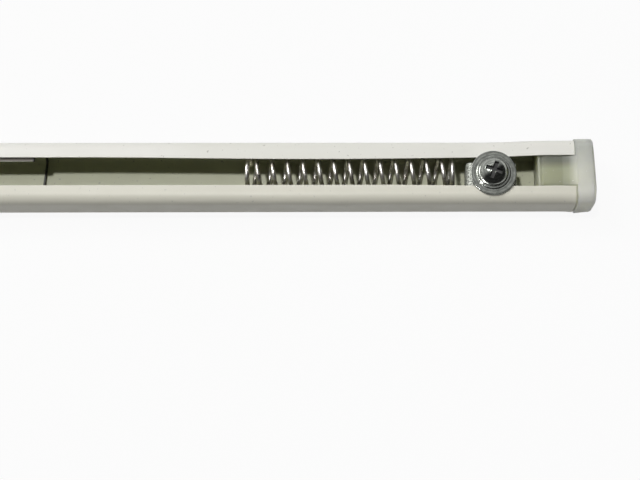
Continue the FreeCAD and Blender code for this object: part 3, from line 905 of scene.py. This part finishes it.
class Finish:
    """A procedural material, built up node by node."""

    def __init__(self, name):
        self.material = bpy.data.materials.new(name)
        self.material.use_nodes = True
        self.nodes = self.material.node_tree.nodes
        self.links = self.material.node_tree.links
        self.nodes.clear()
        output = self.nodes.new("ShaderNodeOutputMaterial")
        self.shader = self.nodes.new("ShaderNodeBsdfPrincipled")
        self.links.new(self.shader.outputs["BSDF"], output.inputs["Surface"])
        self.place = self.nodes.new("ShaderNodeTexCoord").outputs["Object"]

    def stretched(self, stretch):
        """The place on the piece, with its axes scaled."""
        mapping = self.nodes.new("ShaderNodeMapping")
        mapping.inputs["Scale"].default_value = stretch
        self.links.new(self.place, mapping.inputs["Vector"])
        return mapping.outputs["Vector"]

    def noise(self, scale, detail, roughness, stretch=None):
        """Cloudy variation, with its size given by scale, in patches to the metre."""
        node = self.nodes.new("ShaderNodeTexNoise")
        node.inputs["Scale"].default_value = scale
        node.inputs["Detail"].default_value = detail
        node.inputs["Roughness"].default_value = roughness
        place = self.stretched(stretch) if stretch else self.place
        self.links.new(place, node.inputs["Vector"])
        return node.outputs["Fac"]

    def along(self, axis):
        """The place along X, 0, or Y, 1, in metres."""
        split = self.nodes.new("ShaderNodeSeparateXYZ")
        self.links.new(self.place, split.inputs["Vector"])
        return split.outputs[axis]

    def away(self, axis):
        """How far a place is from the rod's middle, along X, 0, or Y, 1, in metres."""
        node = self.nodes.new("ShaderNodeMath")
        node.operation = "ABSOLUTE"
        self.links.new(self.along(axis), node.inputs[0])
        return node.outputs[0]

    def along_line(self, direction):
        """How far along a direction a place is, in metres."""
        node = self.nodes.new("ShaderNodeVectorMath")
        node.operation = "DOT_PRODUCT"
        self.links.new(self.place, node.inputs[0])
        node.inputs[1].default_value = direction
        return node.outputs["Value"]

    def both(self, first, second):
        """The share of a place that two amounts both cover."""
        node = self.nodes.new("ShaderNodeMath")
        node.operation = "MULTIPLY"
        self.links.new(first, node.inputs[0])
        self.links.new(second, node.inputs[1])
        return node.outputs[0]

    def rings(self, spacing, x, y):
        """Uneven rings round an upright axis at x and y. All of it is in metres."""
        mapping = self.nodes.new("ShaderNodeMapping")
        mapping.inputs["Location"].default_value = (-x, -y, 0)
        self.links.new(self.place, mapping.inputs["Vector"])
        node = self.nodes.new("ShaderNodeTexWave")
        node.wave_type = "RINGS"
        node.rings_direction = "Z"
        node.inputs["Scale"].default_value = math.pi / (10 * spacing)
        node.inputs["Distortion"].default_value = 3.0
        node.inputs["Detail"].default_value = 3.0
        node.inputs["Detail Scale"].default_value = 0.6
        self.links.new(mapping.outputs["Vector"], node.inputs["Vector"])
        return node.outputs["Fac"]

    def between(self, amount, low, high, to_low=0.0, to_high=1.0):
        """Maps an amount from one range to another, and holds it there."""
        node = self.nodes.new("ShaderNodeMapRange")
        self.links.new(amount, node.inputs["Value"])
        names = ("From Min", "From Max", "To Min", "To Max")
        for name, number in zip(names, (low, high, to_low, to_high)):
            node.inputs[name].default_value = number
        return node.outputs["Result"]

    def tint(self, amount, first, second):
        """Mixes two colours by an amount. Either may be the result of another mix."""
        node = self.nodes.new("ShaderNodeMix")
        node.data_type = "RGBA"
        self.links.new(amount, node.inputs["Factor"])
        for name, colour in (("A", first), ("B", second)):
            socket = [s for s in node.inputs if s.name == name and s.type == "RGBA"][0]
            if isinstance(colour, tuple):
                socket.default_value = (*colour, 1)
            else:
                self.links.new(colour, socket)
        return [s for s in node.outputs if s.type == "RGBA"][0]

    def speckle(self, base, scale, low, high, colour):
        """Adds small specks of another colour, fewer as low and high go up."""
        specks = self.between(self.noise(scale, 2, 0.5), low, high)
        return self.tint(specks, base, colour)

    def feed(self, socket, amount):
        """Gives a socket an amount that varies over the surface."""
        self.links.new(amount, self.shader.inputs[socket])

    def vary_roughness(self, scale, detail, roughness, low, high):
        """Lets the surface's own roughness wander between two values."""
        patches = self.noise(scale, detail, roughness)
        self.feed("Roughness", self.between(patches, 0.3, 0.7, low, high))

    def fix(self, **values):
        """Sets sockets that are the same all over the surface."""
        for name, number in values.items():
            self.shader.inputs[name.replace("_", " ").title()].default_value = number

    def raise_by(self, height, distance, strength):
        """Relief from a height map, up to a distance in metres."""
        bump = self.nodes.new("ShaderNodeBump")
        bump.inputs["Distance"].default_value = distance
        bump.inputs["Strength"].default_value = strength
        self.links.new(height, bump.inputs["Height"])
        self.feed("Normal", bump.outputs["Normal"])


def paint_cut_edge_and_shadow(finish, base, end, width):
    """A dark band along the inner channel's slanted end, partly its raw cut edge and partly painted
    shadow of the gap under it, all of it in metres.
    """
    line = end - (INNER_SETBACK + INNER_SLANT / 2) * MILLIMETRE
    slope = INNER_SLANT * MILLIMETRE / width
    reach = finish.along_line((1, -slope, 0))
    # the band is wider than the raw edge alone, and the rest of it is painted shadow
    cut = finish.between(reach, line - DARK_END_BAND, line - DARK_END_BAND_FULL * DARK_END_BAND)
    return finish.tint(cut, base, (0.03, 0.03, 0.025))


def off_white_enamel(name, cut_end=None):
    """Stoved paint, a little uneven, with dust and small chips, and painted shade towards -Y.

    Where a cut end is given, as its place along X and the channel's width, the stretch that
    slides inside the sleeve gets painted shade on its lips, and the end gets a dark band that is
    partly its raw cut edge and partly painted shadow.
    """
    finish = Finish(name)
    cloud = finish.between(finish.noise(38, 3, 0.55, (0.35, 1, 1)), 0.35, 0.7)
    unshaded_enamel = finish.tint(cloud, (0.82, 0.81, 0.765), (0.76, 0.755, 0.695))
    # painted shade: the enamel is darker and yellower towards -Y, where less light falls
    painted_shade_enamel = finish.tint(cloud, (0.71, 0.695, 0.60), (0.655, 0.64, 0.55))
    base = finish.tint(finish.between(finish.along(1), -SHADE_SIDE_BLEND, SHADE_SIDE_BLEND), painted_shade_enamel, unshaded_enamel)
    base = finish.speckle(base, 900, 0.70, 0.745, (0.52, 0.51, 0.46))
    if cut_end:
        # painted shade: the lips that slide inside the sleeve are made near black, for the sleeve's
        # shade
        slides = finish.between(finish.along(0), INSIDE_SHADE_START, INSIDE_SHADE_START + INSIDE_SHADE_START_FADE)
        off_rim = finish.between(finish.away(1), INSIDE_SHADE_SIDE, INSIDE_SHADE_SIDE + INSIDE_SHADE_SIDE_FADE)
        base = finish.tint(finish.both(slides, off_rim), base, (0.075, 0.065, 0.05))
        base = paint_cut_edge_and_shadow(finish, base, *cut_end)
    finish.feed("Base Color", base)
    finish.vary_roughness(260, 4, 0.6, 0.34, 0.48)
    finish.raise_by(finish.noise(1500, 3, 0.5), 0.00003, 0.6)
    finish.fix(metallic=0.0)
    finish.shader.inputs["Specular IOR Level"].default_value = 0.25
    return finish.material


def back_coat(name, cut_end=None):
    """The thin grey-green coat that sheet steel has on its back."""
    finish = Finish(name)
    cloud = finish.between(finish.noise(60, 4, 0.6, (0.3, 1, 1)), 0.35, 0.7)
    base = finish.tint(cloud, (0.52, 0.53, 0.385), (0.465, 0.475, 0.345))
    base = finish.speckle(base, 1000, 0.68, 0.74, (0.36, 0.36, 0.29))
    if cut_end:
        # the dark band at the cut end, partly raw edge and partly painted shadow
        base = paint_cut_edge_and_shadow(finish, base, *cut_end)
    finish.feed("Base Color", base)
    finish.vary_roughness(300, 4, 0.6, 0.38, 0.54)
    finish.raise_by(finish.noise(1700, 3, 0.5), 0.00003, 0.5)
    finish.fix(metallic=0.0)
    return finish.material


def moulded_plastic():
    """Pale grey-green plastic with a fine matt grain, with painted light on its -Y side and painted
    shade on its +Y side and on the plug.
    """
    finish = Finish("moulded_plastic")
    cloud = finish.between(finish.noise(130, 4, 0.6), 0.35, 0.68)
    grey = finish.tint(cloud, (0.50, 0.515, 0.46), (0.455, 0.47, 0.42))
    pale = finish.tint(cloud, (0.86, 0.86, 0.70), (0.80, 0.80, 0.65))
    # painted light on the flange's -Y side and painted shade on its +Y side
    across = finish.between(finish.along(1), PALE_SIDE_END, GREY_SIDE_START)
    base = finish.tint(across, pale, grey)
    outside = finish.between(finish.away(0), PLUG_TINT_END, FLANGE_TINT_START)
    # painted shade on the plug inside the channel, deepest towards +Y under the lip
    shaded = finish.between(finish.along(1), PLUG_SHADE_START, PLUG_SHADE_FULL)
    plug = finish.tint(shaded, PLUG_TINT, PLUG_SHADE)
    lead = finish.between(finish.away(0), LEAD_TINT_START, LEAD_TINT_END)
    plug = finish.tint(lead, LEAD_TINT, plug)
    base = finish.tint(outside, plug, base)
    base = finish.speckle(base, 1100, 0.71, 0.75, (0.72, 0.73, 0.66))
    finish.feed("Base Color", base)
    finish.vary_roughness(500, 4, 0.6, 0.42, 0.58)
    finish.raise_by(finish.noise(2600, 3, 0.6), 0.00004, 0.5)
    finish.fix(metallic=0.0, subsurface_weight=1.0, subsurface_scale=0.02)
    finish.fix(subsurface_radius=(1.0, 1.0, 0.8))
    return finish.material


def spring_wire():
    """Bright drawn wire, with fine marks along it and brown tarnish in places."""
    finish = Finish("spring_wire")
    tarnish = finish.between(finish.noise(420, 4, 0.65), 0.42, 0.72)
    base = finish.tint(tarnish, (0.84, 0.82, 0.77), (0.34, 0.31, 0.26))
    finish.feed("Base Color", base)
    finish.vary_roughness(900, 4, 0.6, 0.25, 0.38)
    finish.raise_by(finish.noise(3200, 3, 0.6), 0.00002, 0.5)
    finish.fix(metallic=1.0)
    return finish.material


def zinc_plating(x, y):
    """Plated steel, clouded and scuffed, with fine turned rings round an axis at x and y."""
    finish = Finish("zinc_plating")
    cloud = finish.between(finish.noise(620, 5, 0.65), 0.36, 0.68)
    base = finish.tint(cloud, (0.42, 0.435, 0.40), (0.22, 0.23, 0.21))
    marks = finish.rings(RING_SPACING, x, y)
    base = finish.tint(finish.between(marks, 0.3, 0.95, 0.0, 0.4), base, (0.10, 0.105, 0.095))
    finish.feed("Base Color", base)
    finish.vary_roughness(1300, 4, 0.65, 0.11, 0.22)
    finish.raise_by(marks, 0.00002, 0.5)
    finish.fix(metallic=1.0)
    return finish.material


def recess_painted_shade():
    """A dull near-black colour painted in the driver's recess as its shade."""
    finish = Finish("recess_painted_shade")
    cloud = finish.between(finish.noise(1800, 4, 0.6), 0.4, 0.65)
    finish.feed("Base Color", finish.tint(cloud, (0.035, 0.035, 0.032), (0.014, 0.014, 0.013)))
    finish.vary_roughness(2400, 3, 0.6, 0.45, 0.65)
    finish.raise_by(finish.noise(3000, 3, 0.6), 0.00002, 0.5)
    finish.fix(metallic=0.0)
    return finish.material


def pressed_plate():
    """Dull, mottled sheet with a crystalline zinc coat."""
    finish = Finish("pressed_plate")
    cloud = finish.between(finish.noise(2300, 3, 0.6), 0.44, 0.58)
    base = finish.tint(cloud, (0.56, 0.58, 0.52), (0.13, 0.135, 0.12))
    finish.feed("Base Color", base)
    finish.vary_roughness(1500, 4, 0.65, 0.45, 0.65)
    finish.raise_by(finish.noise(1800, 4, 0.7), 0.00008, 0.6)
    finish.fix(metallic=0.45)
    return finish.material


# Surroundings

FLOOR_SIZE = 6
FLOOR_DROP = 0.0002
FLOOR_GREY = 0.62
# the share of the floor that the camera and metal see as white, whatever falls on it
FLOOR_GLOW = 0.93
# where metal sees the room as bright, and how that rises towards it
BRIGHT_SIDE = (-0.55, 0.83, 0.0)
BRIGHT_RISE = (("From Min", 0.1), ("From Max", 0.75), ("To Min", 0.04), ("To Max", 0.9))
ROOM_LIGHT = 0.05
# each lamp's place, size and power, in metres and watts
LAMPS = (
    ("key_lamp", (-0.3, 0.15, 2.4), 0.17, 30),
    ("left_lamp", (-1.54, 1.19, 2.375), 1.25, 47),
    ("ceiling_panel", (0.33, 0.4, 1.15), 0.7, 0.55),
)
LAMP_AIM = (0.15, 0, 0)
CAMERA_PLACE = (0.18338, -0.10075, 0.30889)
CAMERA_TURN = (0.2615, -0.0187, -0.0077)
CAMERA_SENSOR = 36
CAMERA_LENS = 57.26
CAMERA_SHIFT = -0.171875
CAMERA_NEAR = 0.01


def lay_floor():
    """A pale floor that shows white to the camera but keeps a faint shadow."""
    bpy.ops.object.select_all(action="DESELECT")
    bpy.ops.mesh.primitive_plane_add(size=FLOOR_SIZE, location=(0, 0, -FLOOR_DROP))
    floor = bpy.context.object
    floor.name = "floor"
    material = bpy.data.materials.new("pale_floor")
    material.use_nodes = True
    nodes, links = material.node_tree.nodes, material.node_tree.links
    nodes.clear()
    output = nodes.new("ShaderNodeOutputMaterial")
    matt = nodes.new("ShaderNodeBsdfDiffuse")
    matt.inputs["Color"].default_value = (FLOOR_GREY, FLOOR_GREY, FLOOR_GREY, 1)
    glow = nodes.new("ShaderNodeEmission")
    glow.inputs["Color"].default_value = (1, 1, 1, 1)
    glow.inputs["Strength"].default_value = 1.0
    ray = nodes.new("ShaderNodeLightPath")
    seen = nodes.new("ShaderNodeMath")
    seen.operation = "MAXIMUM"
    links.new(ray.outputs["Is Camera Ray"], seen.inputs[0])
    links.new(ray.outputs["Is Glossy Ray"], seen.inputs[1])
    share = nodes.new("ShaderNodeMath")
    share.operation = "MULTIPLY"
    share.inputs[1].default_value = FLOOR_GLOW
    links.new(seen.outputs[0], share.inputs[0])
    mix = nodes.new("ShaderNodeMixShader")
    links.new(share.outputs[0], mix.inputs["Fac"])
    links.new(matt.outputs["BSDF"], mix.inputs[1])
    links.new(glow.outputs["Emission"], mix.inputs[2])
    links.new(mix.outputs["Shader"], output.inputs["Surface"])
    floor.data.materials.append(material)


def hang_lamp(name, place, size, power):
    """A square soft lamp, turned towards the rod."""
    bpy.ops.object.select_all(action="DESELECT")
    bpy.ops.object.light_add(type="AREA", location=place)
    lamp = bpy.context.object
    lamp.name = name
    lamp.data.shape = "SQUARE"
    lamp.data.size = size
    lamp.data.energy = power
    direction = [a - b for a, b in zip(LAMP_AIM, place)]
    yaw = math.atan2(direction[1], direction[0]) - math.pi / 2
    flat = math.hypot(direction[0], direction[1])
    pitch = math.atan2(flat, -direction[2])
    lamp.rotation_euler = (pitch, 0, yaw)


def light_room():
    """The lamps, and a dim room that looks white to the camera and part bright to metal."""
    world = bpy.data.worlds.new("studio")
    bpy.context.scene.world = world
    world.use_nodes = True
    nodes, links = world.node_tree.nodes, world.node_tree.links
    background = nodes["Background"]
    background.inputs["Color"].default_value = (1, 1, 1, 1)
    ray = nodes.new("ShaderNodeLightPath")
    towards = nodes.new("ShaderNodeTexCoord")
    lean = nodes.new("ShaderNodeVectorMath")
    lean.operation = "DOT_PRODUCT"
    lean.inputs[1].default_value = BRIGHT_SIDE
    links.new(towards.outputs["Generated"], lean.inputs[0])
    backdrop = nodes.new("ShaderNodeMapRange")
    for socket, number in BRIGHT_RISE:
        backdrop.inputs[socket].default_value = number
    links.new(lean.outputs["Value"], backdrop.inputs["Value"])
    seen = nodes.new("ShaderNodeMix")
    seen.inputs["A"].default_value = ROOM_LIGHT
    links.new(ray.outputs["Is Glossy Ray"], seen.inputs["Factor"])
    links.new(backdrop.outputs["Result"], seen.inputs["B"])
    shown = nodes.new("ShaderNodeMix")
    shown.inputs["B"].default_value = 1.0
    links.new(ray.outputs["Is Camera Ray"], shown.inputs["Factor"])
    links.new(seen.outputs["Result"], shown.inputs["A"])
    links.new(shown.outputs["Result"], background.inputs["Strength"])
    for name, place, size, power in LAMPS:
        hang_lamp(name, place, size, power)


def set_camera():
    """The camera, where the photograph of the rod was taken from."""
    bpy.ops.object.select_all(action="DESELECT")
    bpy.ops.object.camera_add(location=CAMERA_PLACE, rotation=CAMERA_TURN)
    camera = bpy.context.object
    camera.name = "camera"
    camera.data.sensor_width = CAMERA_SENSOR
    camera.data.lens = CAMERA_LENS
    camera.data.shift_x = CAMERA_SHIFT
    camera.data.clip_start = CAMERA_NEAR
    bpy.context.scene.camera = camera


enamel = off_white_enamel("off_white_enamel")
inside = back_coat("back_coat")
open_low, open_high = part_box("inner_channel")
cut_end = (open_high.x, open_high.y - open_low.y)
inner_enamel = off_white_enamel("inner_enamel", cut_end)
inner_inside = back_coat("inner_back_coat", cut_end)
plastic = moulded_plastic()
wire = spring_wire()
washer_low, washer_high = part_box("wide_washer")
zinc = zinc_plating((washer_low.x + washer_high.x) / 2, (washer_low.y + washer_high.y) / 2)
recess_shade = recess_painted_shade()
plate = pressed_plate()

sleeve_low, sleeve_high = solid_box("sleeve_channel")
sleeve = roll_channel(
    "sleeve_channel_piece", "sleeve_channel", SLEEVE_WIDTH, SLEEVE_SLOT, SLEEVE_FRONT_CORNER,
    SLEEVE_BACK_CORNER, (enamel, inside),
    ((sleeve_high.x, 1, PLUG_SPREAD), (sleeve_low.x, -1, MOUTH_FLARE)), SLEEVE_LIP_BOWS,
)
hand_over(sleeve, "sleeve", "sleeve_channel")

inner_low, inner_high = solid_box("inner_channel")
inner = roll_channel(
    "inner_channel_piece", "inner_channel", inner_high.y - inner_low.y, INNER_SLOT,
    INNER_FRONT_CORNER, INNER_BACK_CORNER, (inner_enamel, inner_inside), bows=INNER_LIP_BOWS,
    slanted=True,
)
hand_over(inner, "inner", "inner_channel")

make_caps(plastic)

spring = wind_spring()
hand_over(spring, "stop", "pressure_spring", wire)
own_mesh(spring)

hand_over(bend_plate(), "stop", "stop_plate", plate)
make_washers(zinc)
make_screw(zinc, recess_shade)

lay_floor()
light_room()
set_camera()
bpy.context.scene.view_settings.view_transform = "Standard"
